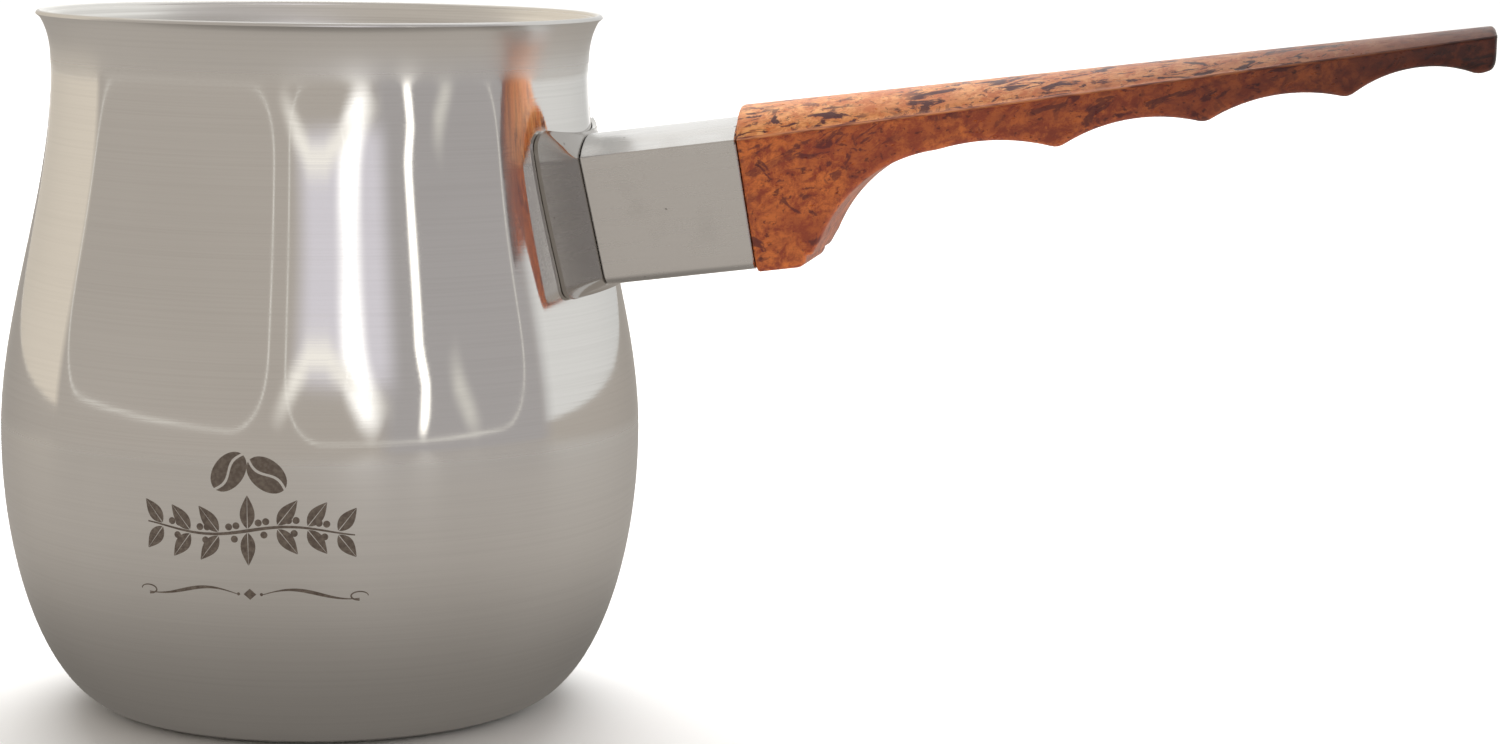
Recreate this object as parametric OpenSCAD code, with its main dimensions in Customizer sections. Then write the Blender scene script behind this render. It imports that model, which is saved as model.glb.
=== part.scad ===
// Turkish coffee pot (cezve): a one-piece steel shell with a moulded grip on a steel saddle and ferrule.
// Millimetres, +Z up. The origin is the centre of the flat base, and the handle points along +X.

/* [Pot shell] */
// Overall height of the shell, base to lip
pot_h = 108.5; // [90:0.5:130]
// Largest outer radius, at the belly
belly_r = 50; // [42:0.5:60]
// Height of the belly's largest radius
belly_z = 43; // [36:0.5:50]
// Radius of the flat the pot stands on
foot_r = 32; // [26:0.5:38]
// Smallest outer radius, at the neck
neck_r = 41.6; // [36:0.1:46]
// Height of the neck
neck_z = 99.5; // [92:0.5:102]
// Outer radius of the flared lip
lip_r = 43.8; // [42:0.1:50]
// Thickness of the steel sheet
wall = 1; // [0.6:0.1:1.5]

/* [Handle axis] */
// Distance from the pot's axis to the flame guard's inner end
handle_x = 45.5; // [45.3:0.1:46.5]
// Height of the handle's axis at that end
handle_z = 79; // [77:0.5:81]
// Upward tilt of the handle
handle_tilt = 8; // [6:0.5:10]

/* [Flame guard] */
// Length along the handle
guard_l = 23.8; // [20:0.1:30]
// Half of its width
guard_half_w = 10; // [9:0.1:11]
// Its flat underside, below the handle's axis
guard_floor = -10.9; // [-12:0.1:-10]
// The ridge line where the flat side meets the crown
guard_ridge = 9; // [7:0.1:10]
// Rise of the crown above the ridge line
guard_crown = 2.9; // [2:0.1:4]
// Rounding of the two lower edges
guard_edge_r = 1.5; // [1:0.1:3]
// Lean of the inner end, which follows the pot's wall
inner_rake = 4.5; // [3:0.5:5]
// Lean of the outer end, against the grip
outer_rake = 2; // [0:0.5:3]

/* [Bracket] */
// Half of its width where it meets the pot
saddle_half_w = 18; // [15:0.5:20]
// Its lower edge at the pot
saddle_floor = -11.9; // [-14:0.1:-11.2]
// Its upper edge at the pot, at the two shoulders
saddle_top = 13.8; // [13.2:0.1:15.5]
// Its upper edge at the pot, in the middle
saddle_mid = 12.3; // [12.2:0.1:13.1]
// Rounding of its two upper shoulders at the pot
saddle_shoulder_r = 2.8; // [2:0.1:5]
// Hollow of its flare: 0 is a straight slope and 1 a quarter round
flare_bow = 0.15; // [0:0.05:0.5]
// Thickness of its sheet
saddle_t = 0.8; // [0.6:0.1:0.9]

/* [Grip] */
// End of the grip, from the flame guard's inner end
grip_end = 136.6; // [130:0.1:145]
// Radius of the crowned top
grip_crown_r = 14; // [11:0.5:18]
// Crest of the grip at its root
grip_top = 13.6; // [12.5:0.1:15]
// Fall of the crest line towards the tip
grip_fall = 0.63; // [0:0.01:1]
// Half width at the root
grip_half_w = 10; // [9:0.1:11]
// Half width at the tip
grip_tip_half_w = 6.1; // [5:0.1:8]
// Underside of the deep foot
grip_foot = -11.4; // [-12.5:0.1:-11]
// Length of the foot's flat underside
foot_l = 6.6; // [5.5:0.1:7.5]
// Radius of the sweep behind the foot
sweep_r = 22.1; // [21:0.1:23]
// Radius of its flatter far side
sweep_far_r = 32; // [30:0.5:34]
// Centre of that sweep, along the handle
sweep_x = 53.9; // [53:0.1:55]
// Top of that sweep, above the handle's axis
sweep_z = 3.9; // [3.5:0.1:4.2]
// Centre of the far side, along the handle
sweep_far_x = 59.5; // [59:0.1:60]
// Top of the far side, above the handle's axis
sweep_far_z = 4.45; // [4.2:0.05:4.7]
// First finger crest, along the handle
crest_x = 71.4; // [71:0.1:72]
// First finger crest, above the handle's axis
crest_z = 2.1; // [1.9:0.1:2.3]
// Rise of the line through the crests, in degrees
crest_rise = 3.4; // [3:0.1:4]
// Widths of the three finger grooves, root to tip
groove_w = [21.9, 21, 19.2]; // [18:0.1:24]
// Depths of the three finger grooves
groove_d = [2.4, 2.2, 2.6]; // [1.5:0.05:3]

/* [Fixings] */
// Nominal thread of the stud
thread_d = 5; // [4:1:6]
// Length of the stud outside its flange
stud_l = 18; // [16:0.5:20]
// Across the flats of the clamp nut
nut_af = 8; // [7:0.5:10]
// Height of the clamp nut
nut_h = 3.2; // [2.7:0.1:4]
// Diameter of the moulded-in insert
insert_d = 8; // [7:0.5:9]
// Length of the insert
insert_l = 11; // [9:0.5:12]

/* [Hidden] */
$fn = 96;

// Free space between parts that slide together
fit_gap = 0.15;
// Gap that stands for the closed weld seam between bracket and wall
seam_gap = 0.03;
// Share of the sheet taken up by the rolled edge of the lip
lip_roll = 1.2;

crown_r = (guard_half_w * guard_half_w + guard_crown * guard_crown) / (2 * guard_crown);
crown_z = guard_ridge + guard_crown - crown_r;

// End wall of the flame guard, and what is stacked on it along the stud
guard_t = 0.9;
guard_end_t = 1;
washer_t = 1.2;
washer_d = 9;
flange_d = 7;
flange_hole_d = 7.4;
nut_x = guard_end_t + washer_t;
nut_space = 0.4;
tenon_x = nut_x + nut_h + nut_space;
thread_depth = 0.4;
thread_pitch = 0.8;
// Clearances of the bores round the thread: loose, over the washer and in a tapped part
loose_gap = 0.4;
washer_gap = 0.2;
tapped_gap = 0.1;

// ---- pot shell ----

// Outer radius of the shell at height z
function pot_r(z) =
    z <= belly_z ? foot_r + (belly_r - foot_r) * sqrt(max(0, 1 - pow((belly_z - z) / belly_z, 2)))
    : z <= neck_z ? belly_r - (belly_r - neck_r) * ease((z - belly_z) / (neck_z - belly_z))
    : neck_r + (lip_r - neck_r) * pow((z - neck_z) / (pot_h - neck_z), 3);

// Smooth step from 0 to 1, level at both ends
function ease(t) = t * t * (3 - 2 * t);

base_steps = 14;
side_steps = 16;
lip_steps = 7;

// Outer outline from the edge of the base flat to the lip
outer_pts = concat(
    [for (i = [0 : base_steps]) let (z = belly_z * (1 - cos(90 * i / base_steps))) [pot_r(z), z]],
    [for (i = [1 : side_steps]) let (z = belly_z + (neck_z - belly_z) * i / side_steps) [pot_r(z), z]],
    [for (i = [1 : lip_steps]) let (z = neck_z + (pot_h - neck_z) * i / lip_steps) [pot_r(z), z]]);

// Unit normal of a polyline at point i, to the left of its direction
function normal_at(p, i) =
    let (a = p[max(0, i - 1)], b = p[min(len(p) - 1, i + 1)], d = b - a)
    [-d[1], d[0]] / norm(d);

// The inner outline stands one sheet inside the outer one, from the floor to the lip's level cut
inner_pts = concat(
    [[foot_r - wall / 2, wall]],
    [for (i = [1 : len(outer_pts) - 2]) outer_pts[i] + wall * normal_at(outer_pts, i)],
    [[lip_r - lip_roll * wall, pot_h]]);

module pot_body() {
    inner_down = [for (i = [len(inner_pts) - 1 : -1 : 0]) inner_pts[i]];
    color("lightgray")
    rotate_extrude()
    polygon(concat([[0, 0]], outer_pts, inner_down, [[0, wall]]));
}

// Everything inside the shell's outer face
module pot_blank() {
    rotate_extrude()
    polygon(concat([[0, 0]], outer_pts, [[0, pot_h]]));
}

// ---- handle frame: +X runs along the handle, from the flame guard's inner end ----

module on_handle() {
    translate([handle_x, 0, handle_z])
    rotate([0, -handle_tilt, 0])
    children();
}

// A side-view outline, given width across the handle
module across(half_w) {
    rotate([90, 0, 0])
    translate([0, 0, -half_w])
    linear_extrude(2 * half_w)
    children();
}

// An end-view outline, drawn along the handle from x0 to x1
module along(x0, x1) {
    translate([x0, 0, 0])
    rotate([90, 0, 90])
    linear_extrude(x1 - x0)
    children();
}

// A round bar along the handle's axis
module bar(x0, x1, d) {
    translate([x0, 0, 0])
    rotate([0, 90, 0])
    cylinder(h = x1 - x0, d = d);
}

// End view of the flame guard, moved in by inset on all sides
module guard_section(inset) {
    w = guard_half_w - inset;
    z0 = guard_floor + inset;
    r = guard_edge_r - inset / 2;
    intersection() {
        union() {
            translate([-w, z0 + r])
            square([2 * w, crown_z + crown_r - z0]);
            translate([r - w, z0])
            square([2 * (w - r), 2 * r]);
            for (side = [-1, 1])
                translate([side * (w - r), z0 + r])
                circle(r);
        }
        translate([0, crown_z])
        circle(crown_r - inset);
    }
}

// Where the raked end planes lie at height z on the handle
function inner_end(z) = -z * tan(inner_rake);
function outer_end(z) = guard_l - z * tan(outer_rake);

// Side view of the space between the two raked ends
module between_ends(from_inner, past_outer) {
    low = guard_floor - 2;
    high = guard_ridge + guard_crown + 2;
    polygon([[inner_end(low) + from_inner, low], [outer_end(low) + past_outer, low],
             [outer_end(high) + past_outer, high], [inner_end(high) + from_inner, high]]);
}

module flame_guard() {
    color("silver")
    on_handle()
    difference() {
        intersection() {
            along(-3, guard_l + 3) guard_section(0);
            across(guard_half_w + 1) between_ends(0, 0);
        }
        intersection() {
            along(-3, guard_l + 5) guard_section(guard_t);
            across(guard_half_w + 1) between_ends(guard_end_t, 2);
        }
        bar(-2, 4, thread_d + loose_gap);
    }
}

// ---- bracket: a pressed saddle that flares from the flame guard's section to the pot's wall ----

flare_steps = 8;
arc_steps = 4;
flat_steps = 4;
side_steps_up = 6;
crown_steps = 5;
// How far the shoulder's rounding turns before the crown takes over
shoulder_turn = 80;
// Roundings of the flare's edges beside the flame guard, and of its lower edge at the wall
near_low_r = 1.4;
near_ridge_r = 0.4;
far_low_r = 1.6;
// Where the search for the wall starts, its turns, and the shortest step the flare may take
wall_start = -2;
wall_turns = 6;
least_reach = 0.02;

// Right half of a section, from the middle of its underside to the middle of its top.
// w, floor_z and ridge_z give its size, r_low and r_high round its corners, and top_z is the middle of
// the top, which is crowned where it lies above the ridge and dished where it lies below.
function half_section(w, floor_z, ridge_z, top_z, r_low, r_high) =
    let (shoulder_u = w - r_high + r_high * cos(shoulder_turn),
         shoulder_z = ridge_z - r_high + r_high * sin(shoulder_turn),
         side_low = floor_z + r_low,
         side_high = ridge_z - r_high)
    concat(
        [for (i = [0 : flat_steps - 1]) [(w - r_low) * i / flat_steps, floor_z]],
        [for (i = [0 : arc_steps]) let (a = -90 + 90 * i / arc_steps)
            [w - r_low + r_low * cos(a), side_low + r_low * sin(a)]],
        [for (i = [1 : side_steps_up - 1]) [w, side_low + (side_high - side_low) * i / side_steps_up]],
        [for (i = [0 : arc_steps]) let (a = shoulder_turn * i / arc_steps)
            [w - r_high + r_high * cos(a), side_high + r_high * sin(a)]],
        [for (i = [1 : crown_steps]) let (t = 1 - i / crown_steps)
            [shoulder_u * t, top_z + (shoulder_z - top_z) * t * t]]);

// Whole section, as a closed ring
function ring_of(half) = concat(half, [for (i = [len(half) - 2 : -1 : 1]) [-half[i][0], half[i][1]]]);

// Distance along the handle at which a point of the section meets the pot's wall
function wall_x(u, z, x, turns) =
    turns == 0 ? x :
    let (height = handle_z + x * sin(handle_tilt) + z * cos(handle_tilt),
         reach = sqrt(pow(pot_r(height) + seam_gap, 2) - u * u))
    wall_x(u, z, (reach - handle_x + z * sin(handle_tilt)) / cos(handle_tilt), turns - 1);

// One ring of the flare. turn goes from 0 at the flame guard to 90 at the wall, lift is the stand-off
// from the wall, inset is the depth inside the outer face and start is the depth behind the guard.
function flare_ring(turn, inset, start, lift) =
    let (near = ring_of(half_section(guard_half_w - inset, guard_floor + inset, guard_ridge - inset / 2,
                                     guard_ridge + guard_crown - inset, near_low_r, near_ridge_r)),
         far = ring_of(half_section(saddle_half_w - inset, saddle_floor + inset,
                                    saddle_top - inset, saddle_mid - inset, far_low_r,
                                    saddle_shoulder_r)),
         grow = turn / 90 + flare_bow * (1 - cos(turn) - turn / 90),
         go = turn / 90 + flare_bow * (sin(turn) - turn / 90))
    [for (i = [0 : len(near) - 1])
        let (n = near[i], f = far[i],
             x0 = inner_end(n[1]) - start,
             x1 = min(x0 - least_reach, wall_x(f[0], f[1], wall_start, wall_turns) + lift),
             p = n + (f - n) * grow)
        [x0 + (x1 - x0) * go, p[0], p[1]]];

saddle_rings = concat(
    [for (k = [0 : flare_steps]) flare_ring(90 * k / flare_steps, 0, 0, saddle_t)],
    [flare_ring(90, 0, 0, 0)],
    [for (k = [flare_steps : -1 : 0]) flare_ring(90 * k / flare_steps, saddle_t, saddle_t, 0)]);

function sum(list, i = 0) = i == len(list) - 1 ? list[i] : list[i] + sum(list, i + 1);
function middle_of(ring) = sum(ring) / len(ring);

// Solid skin through a list of closed rings, with a flat fan of triangles at each end
module ring_solid(rings) {
    n = len(rings[0]);
    last = len(rings) - 1;
    first_middle = (last + 1) * n;
    faces = concat(
        [for (i = [0 : n - 1]) [first_middle, i, (i + 1) % n]],
        [for (k = [0 : last - 1], i = [0 : n - 1])
            [k * n + i, (k + 1) * n + i, k * n + (i + 1) % n]],
        [for (k = [0 : last - 1], i = [0 : n - 1])
            [k * n + (i + 1) % n, (k + 1) * n + i, (k + 1) * n + (i + 1) % n]],
        [for (i = [0 : n - 1]) [first_middle + 1, last * n + (i + 1) % n, last * n + i]]);
    polyhedron(points = concat([for (ring = rings) each ring], [middle_of(rings[0]), middle_of(rings[last])]),
               faces = faces);
}

module handle_bracket() {
    color("gainsboro")
    on_handle()
    difference() {
        ring_solid(saddle_rings);
        bar(-4, 2, flange_hole_d);
    }
}

// ---- fixings on the handle's axis ----

// One side of a screw thread as rings, from x0 to x1
function thread_pts(x0, x1) =
    [for (i = [0 : floor((x1 - x0) / thread_pitch) - 1], half = [0, 1])
        [thread_d / 2 - (half == 0 ? thread_depth : 0), x0 + (i + half / 2) * thread_pitch]];

module weld_stud() {
    plain_l = 1.2;
    color("darkgray")
    difference() {
        on_handle()
        union() {
            bar(-3, 0, flange_d);
            rotate([0, 90, 0])
            rotate_extrude()
            polygon(concat([[0, -1], [thread_d / 2, -1], [thread_d / 2, plain_l]],
                           thread_pts(plain_l, stud_l - 0.6),
                           [[thread_d / 2 - thread_depth, stud_l], [0, stud_l]]));
        }
        pot_blank();
    }
}

module spring_washer() {
    slit_w = 0.8;
    color("dimgray")
    on_handle()
    difference() {
        bar(guard_end_t, nut_x, washer_d);
        bar(0, nut_x + 1, thread_d + washer_gap);
        translate([guard_end_t - 1, -slit_w / 2, 0])
        cube([washer_t + 2, slit_w, washer_d]);
    }
}

module clamp_nut() {
    corner_d = nut_af / cos(30);
    chamfer = 0.6;
    color("darkgray")
    on_handle()
    difference() {
        intersection() {
            translate([nut_x, 0, 0])
            rotate([0, 90, 0])
            cylinder(h = nut_h, d = corner_d, $fn = 6);
            translate([nut_x, 0, 0])
            rotate([0, 90, 0])
            rotate_extrude()
            polygon([[0, 0], [corner_d / 2 - chamfer, 0], [corner_d / 2, chamfer / 2],
                     [corner_d / 2, nut_h - chamfer / 2], [corner_d / 2 - chamfer, nut_h], [0, nut_h]]);
        }
        bar(nut_x - 1, nut_x + nut_h + 1, thread_d + tapped_gap);
    }
}

// Outline of the insert's outside: two knurled bands with a groove between them
insert_pts = [[insert_d / 2 - 0.3, 0], [insert_d / 2, 0.3], [insert_d / 2, insert_l * 0.4],
              [insert_d / 2 - 0.5, insert_l * 0.45], [insert_d / 2 - 0.5, insert_l * 0.55],
              [insert_d / 2, insert_l * 0.6], [insert_d / 2, insert_l - 0.3],
              [insert_d / 2 - 0.3, insert_l]];

module insert_blank() {
    translate([tenon_x, 0, 0])
    rotate([0, 90, 0])
    rotate_extrude()
    polygon(concat([[0, 0]], insert_pts, [[0, insert_l]]));
}

module grip_insert() {
    color("goldenrod")
    on_handle()
    difference() {
        insert_blank();
        bar(tenon_x - 1, tenon_x + insert_l + 1, thread_d + tapped_gap);
    }
}

// ---- grip ----

// Where finger crest k lies: the crests share one straight rising line
function crest_at(k) = k == 0 ? [crest_x, crest_z] :
    crest_at(k - 1) + groove_w[k - 1] * [cos(crest_rise), sin(crest_rise)];

tip_low = crest_at(3);
grip_top_end = grip_top - (grip_end - guard_l) * tan(grip_fall);
// The tip's lower corner: a short flat that rises a little, then a rounding up to the end face
tip_flat = 1.4;
tip_flat_rise = 0.28;
tip_edge_r = 1.2;
tip_edge_in = 0.84;
// The end face leans in above its upper edge by this much
tip_lean = 0.36;
foot_edge_r = 1.7;

// Side view of the grip: a tapering bar with a deep foot, a sweep and three finger grooves
module grip_side() {
    root_high = grip_top + 3;
    heel_x = guard_l + foot_l + foot_edge_r;
    difference() {
        polygon([[outer_end(0), 0], [heel_x, grip_foot + foot_edge_r], [sweep_x, grip_foot],
                 [crest_x, crest_z], tip_low, tip_low + [tip_flat, tip_flat_rise],
                 tip_low + [tip_flat + tip_edge_in, tip_edge_r],
                 [grip_end, grip_top_end - tip_edge_r], [grip_end - tip_lean, grip_top_end + 1],
                 [outer_end(root_high), root_high]]);
        translate([sweep_x, sweep_z - sweep_r])
        circle(sweep_r);
        translate([sweep_far_x, sweep_far_z - sweep_far_r])
        circle(sweep_far_r);
        for (k = [0 : 2]) {
            r = (pow(groove_w[k] / 2, 2) + pow(groove_d[k], 2)) / (2 * groove_d[k]);
            middle = (crest_at(k) + crest_at(k + 1)) / 2;
            translate(middle + (r - groove_d[k]) * [sin(crest_rise), -cos(crest_rise)])
            circle(r);
        }
    }
    grip_heel();
}

// Side view of the foot: a block with a rounded rear corner, standing proud of the flame guard
module grip_heel() {
    x1 = guard_l + foot_l;
    polygon([[outer_end(grip_foot), grip_foot], [x1, grip_foot], [x1 + foot_edge_r, grip_foot + foot_edge_r],
             [x1 + foot_edge_r + 0.5, grip_foot + foot_edge_r], [x1 + foot_edge_r + 3, 0], [outer_end(0), 1]]);
    translate([x1, grip_foot + foot_edge_r])
    circle(foot_edge_r);
}

// Half width of the grip, which narrows ever faster from root to tip
function grip_w(x) =
    grip_half_w - (grip_half_w - grip_tip_half_w) * pow((x - guard_l) / (grip_end - guard_l), 2);

module grip_plan() {
    steps = 10;
    xs = [for (i = [0 : steps]) guard_l - 2 + (grip_end + 2 - guard_l) * i / steps];
    polygon(concat([for (x = xs) [x, grip_w(max(x, guard_l))]],
                   [for (i = [steps : -1 : 0]) [xs[i], -grip_w(max(xs[i], guard_l))]]));
}

module handle_grip() {
    color("peru")
    on_handle()
    difference() {
        union() {
            intersection() {
                across(grip_half_w + 1) grip_side();
                translate([0, 0, grip_foot - 1])
                linear_extrude(grip_top - grip_foot + 3)
                grip_plan();
                grip_crown();
            }
            tenon();
        }
        insert_blank();
        bar(tenon_x - 1, tenon_x + insert_l + 2, thread_d + loose_gap);
    }
}

// The long cylinder that rounds the grip's top, with everything below it
module grip_crown() {
    translate([guard_l, 0, grip_top])
    rotate([0, grip_fall, 0])
    along(-4, grip_end - guard_l + 4)
    union() {
        translate([0, -grip_crown_r])
        circle(grip_crown_r);
        translate([-grip_half_w - 2, grip_foot - grip_top - 4])
        square([2 * grip_half_w + 4, grip_top - grip_foot + 4 - grip_crown_r + 4.2]);
    }
}

// The block that fills the flame guard and carries the insert
module tenon() {
    intersection() {
        along(tenon_x, guard_l + 3) guard_section(guard_t + fit_gap);
        across(guard_half_w) between_ends(tenon_x + 1, 0.5);
    }
}

pot_body();
handle_bracket();
weld_stud();
flame_guard();
spring_washer();
clamp_nut();
grip_insert();
handle_grip();
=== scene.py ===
import math

import bpy
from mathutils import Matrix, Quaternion, Vector


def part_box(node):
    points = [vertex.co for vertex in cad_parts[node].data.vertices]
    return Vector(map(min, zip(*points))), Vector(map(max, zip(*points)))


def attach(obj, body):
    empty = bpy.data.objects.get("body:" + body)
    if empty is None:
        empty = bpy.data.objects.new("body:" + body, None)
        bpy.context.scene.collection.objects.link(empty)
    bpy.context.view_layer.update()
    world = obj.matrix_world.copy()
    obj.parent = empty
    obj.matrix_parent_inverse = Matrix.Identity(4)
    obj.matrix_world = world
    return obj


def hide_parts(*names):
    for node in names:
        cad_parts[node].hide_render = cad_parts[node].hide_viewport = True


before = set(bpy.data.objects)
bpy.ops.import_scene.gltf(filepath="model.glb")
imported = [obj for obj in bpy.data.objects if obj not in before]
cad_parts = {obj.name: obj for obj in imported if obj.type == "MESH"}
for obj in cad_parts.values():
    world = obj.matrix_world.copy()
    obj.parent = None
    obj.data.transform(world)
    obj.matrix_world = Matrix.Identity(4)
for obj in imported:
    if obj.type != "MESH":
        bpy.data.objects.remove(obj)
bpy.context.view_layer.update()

MM = 0.001
VIEW_AZIMUTH = math.radians(17.5)

# ---- driving sizes, in millimetres, the same as the CAD's ----

POT_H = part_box("pot_body")[1].z / MM
# The ornament stands this far off the belly, and the shell leaves room for it inside the CAD's box
MARK_LIFT = 0.02
BELLY_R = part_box("pot_body")[1].y / MM - 1.5 * MARK_LIFT
BELLY_Z = 43
FOOT_R = 32
NECK_R = 41.6
NECK_Z = 99.5
LIP_R = 43.8
WALL = 1
LIP_FLAT = 1.2
LIP_ROUND = 0.55

HANDLE_X = 45.5
HANDLE_Z = 79
TILT = math.radians(8)

GUARD_L = 23.8
GUARD_W = 10
GUARD_FLOOR = -10.9
GUARD_RIDGE = 9
GUARD_TOP = 11.9
GUARD_T = 0.9
GUARD_END_T = 1
INNER_RAKE = math.radians(4.5)
OUTER_RAKE = math.radians(2)
GUARD_LOW_R = 1.5
RIDGE_R = 0.45
FIT_GAP = 0.15
STUD_HOLE_R = 2.7
FLANGE_HOLE_R = 3.7

SADDLE_W = 18
SADDLE_FLOOR = -11.9
SADDLE_TOP = 13.8
SADDLE_MID = 12.3
SADDLE_SHOULDER_R = 2.8
SADDLE_LOW_R = 1.6
SADDLE_T = 0.8
FLARE_BOW = 0.15
FLARE_LOW_R = 1.4
# Gaps that show as dark lines: between bracket and flame guard, and along the weld at the wall
BRACKET_GAP = 0.12
WELD_GAP = 0.03
# Where the search for the wall starts, its turns, and the shortest step the flare may take
WALL_START = -2
WALL_TURNS = 6
LEAST_REACH = 0.02

GRIP_END = 136.6
GRIP_W = 10
GRIP_TIP_W = 6.1
GRIP_TOP = 13.6
GRIP_FALL = math.tan(math.radians(0.63))
GRIP_RIDGE = 8.75
GRIP_RIDGE_RISE = 0.0195
GRIP_LOW_R = 1.3
FOOT_Z = -11.4
FOOT_END = GUARD_L + 6.6
FOOT_EDGE = 1.7
TENON_X = 5.8
INSERT_R = 4
INSERT_L = 11
# Gap that shows as a dark line between the flame guard and the grip's root face
ROOT_GAP = 0.16
# Points of the grip's section along the crown and over the moulding seam
CROWN_STEPS = 16
SEAM_POINTS = 3
# How far the shoulder's rounding turns before the crown takes over, in degrees
SHOULDER_TURN = 80


# ---- shape helpers ----

def ease(t):
    """Smooth step from 0 to 1, level at both ends."""
    t = min(1, max(0, t))
    return t * t * (3 - 2 * t)


def lerp(a, b, t):
    return a + (b - a) * t


def span(a, b, steps):
    """steps + 1 even values from a to b."""
    return [a + (b - a) * i / steps for i in range(steps + 1)]


def arc(cx, cy, r, a0, a1, steps):
    """Points on a circle's arc, with angles in degrees."""
    return [(cx + r * math.cos(math.radians(a)), cy + r * math.sin(math.radians(a)))
            for a in span(a0, a1, steps)]


def pot_r(z):
    """Outer radius of the shell at height z."""
    if z <= BELLY_Z:
        return FOOT_R + (BELLY_R - FOOT_R) * math.sqrt(max(0, 1 - ((BELLY_Z - z) / BELLY_Z) ** 2))
    if z <= NECK_Z:
        return BELLY_R - (BELLY_R - NECK_R) * ease((z - BELLY_Z) / (NECK_Z - BELLY_Z))
    return NECK_R + (LIP_R - NECK_R) * ((z - NECK_Z) / (POT_H - NECK_Z)) ** 3


def on_handle(x, y, z):
    """A point of the handle's own frame, in the row frame."""
    return (HANDLE_X + x * math.cos(TILT) - z * math.sin(TILT), y,
            HANDLE_Z + x * math.sin(TILT) + z * math.cos(TILT))


def make_piece(name, points, faces, material, sharp=40):
    """A smooth-shaded mesh of points in millimetres, with edges sharper than the angle kept crisp."""
    mesh = bpy.data.meshes.new(name)
    mesh.from_pydata([Vector(p) * MM for p in points], [], faces)
    mesh.validate()
    mesh.polygons.foreach_set("use_smooth", [True] * len(mesh.polygons))
    mesh.set_sharp_from_angle(angle=math.radians(sharp))
    mesh.materials.append(material)
    piece = bpy.data.objects.new(name, mesh)
    bpy.context.scene.collection.objects.link(piece)
    return piece


def outward(points, faces):
    """The faces of a closed body, turned to face outwards."""
    volume = 0
    for face in faces:
        a = Vector(points[face[0]])
        for i in range(1, len(face) - 1):
            volume += a.dot(Vector(points[face[i]]).cross(Vector(points[face[i + 1]])))
    return faces if volume > 0 else [face[::-1] for face in faces]


def loft(name, rings, material, ends="loop", sharp=40):
    """A closed skin through rings of equal length. ends is loop, where the last ring joins the first,
    or caps, where each end closes on its middle."""
    n = len(rings[0])
    points = [p for ring in rings for p in ring]
    count = len(rings) if ends == "loop" else len(rings) - 1
    faces = []
    for k in range(count):
        a, b = k * n, (k + 1) % len(rings) * n
        faces += [(a + i, a + (i + 1) % n, b + (i + 1) % n, b + i) for i in range(n)]
    if ends == "caps":
        for k, turn in ((0, -1), (len(rings) - 1, 1)):
            ring = rings[k]
            points.append(tuple(sum(p[axis] for p in ring) / n for axis in range(3)))
            middle = len(points) - 1
            faces += [(k * n + i, k * n + (i + 1) % n, middle)[::turn] for i in range(n)]
    return make_piece(name, points, outward(points, faces), material, sharp)


# ---- the pot ----

def shell_outline():
    """The shell's outline from the middle of its underside, up the outside, over the lip and down inside."""
    low = [BELLY_Z * (1 - math.cos(math.radians(a))) for a in span(0, 90, 48)]
    high = span(BELLY_Z, NECK_Z, 60)[1:] + span(NECK_Z, POT_H - LIP_ROUND, 16)[1:]
    outer = [(pot_r(z), z) for z in low + high]
    inner = []
    for i in range(1, len(outer) - 1):
        (r0, z0), (r1, z1) = outer[i - 1], outer[i + 1]
        length = math.hypot(r1 - r0, z1 - z0)
        inner.append((outer[i][0] - WALL * (z1 - z0) / length, outer[i][1] + WALL * (r1 - r0) / length))
    lip = arc(LIP_R - LIP_FLAT / 2, POT_H - LIP_ROUND, LIP_ROUND, 0, 180, 10)
    base = [(r, 0) for r in span(0, FOOT_R, 12)[1:-1]]
    floor = [(r, WALL) for r in span(FOOT_R - WALL / 2, 0, 10)[:-1]]
    return base + outer[:-1] + lip + inner[::-1] + floor


def build_pot(outside, inside):
    """The drawn shell, with another finish from the top of its lip inwards."""
    turns = 288
    outline = shell_outline()
    rings = []
    for r, z in outline:
        rings.append([(r * math.cos(2 * math.pi * i / turns), r * math.sin(2 * math.pi * i / turns), z)
                      for i in range(turns)])
    pot = loft("pot_shell", rings, outside, "caps")
    pot.data.materials.append(inside)
    lip = max(range(len(outline)), key=lambda i: outline[i][1])
    for face in pot.data.polygons[lip * turns:(len(outline) - 1) * turns]:
        face.material_index = 1
    for face in pot.data.polygons[-turns:]:
        face.material_index = 1
    return pot


# ---- the etched ornament ----

MARK_TURN = math.radians(4.8)
MARK_Z = 35.6
LEAST_STROKE = 0.03
# The bean's slit: how far it bends and how wide it is, as shares of the bean's width
BEAN_BEND = 0.11
BEAN_SLIT = 0.045
# The leaf's bare vein: half its width at the stalk and at the point
VEIN_STALK = 0.07
VEIN_POINT = 0.02
STEM_LENGTH = 31.2
LEAF_PAIRS = 7
LEAF_PITCH = 4.4
LEAF_WIDTH = 2.1
BERRY_R = 0.52


def on_wall(s, z, lift):
    """A point on the shell: s along its girth and z up from the ornament's middle, lift off its face."""
    turn = MARK_TURN + s / BELLY_R
    r = pot_r(MARK_Z + z) + lift
    return math.sin(turn) * r, -math.cos(turn) * r, MARK_Z + z


def patch(left, right):
    """Rings of a thin raised body between two edge lines of equal length."""
    rings = []
    for (s0, z0), (s1, z1) in zip(left, right):
        top = [on_wall(lerp(s0, s1, t), lerp(z0, z1, t), MARK_LIFT) for t in span(0, 1, 4)]
        rings.append(top + [on_wall(s1, z1, -MARK_LIFT), on_wall(s0, z0, -MARK_LIFT)])
    return rings


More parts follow.
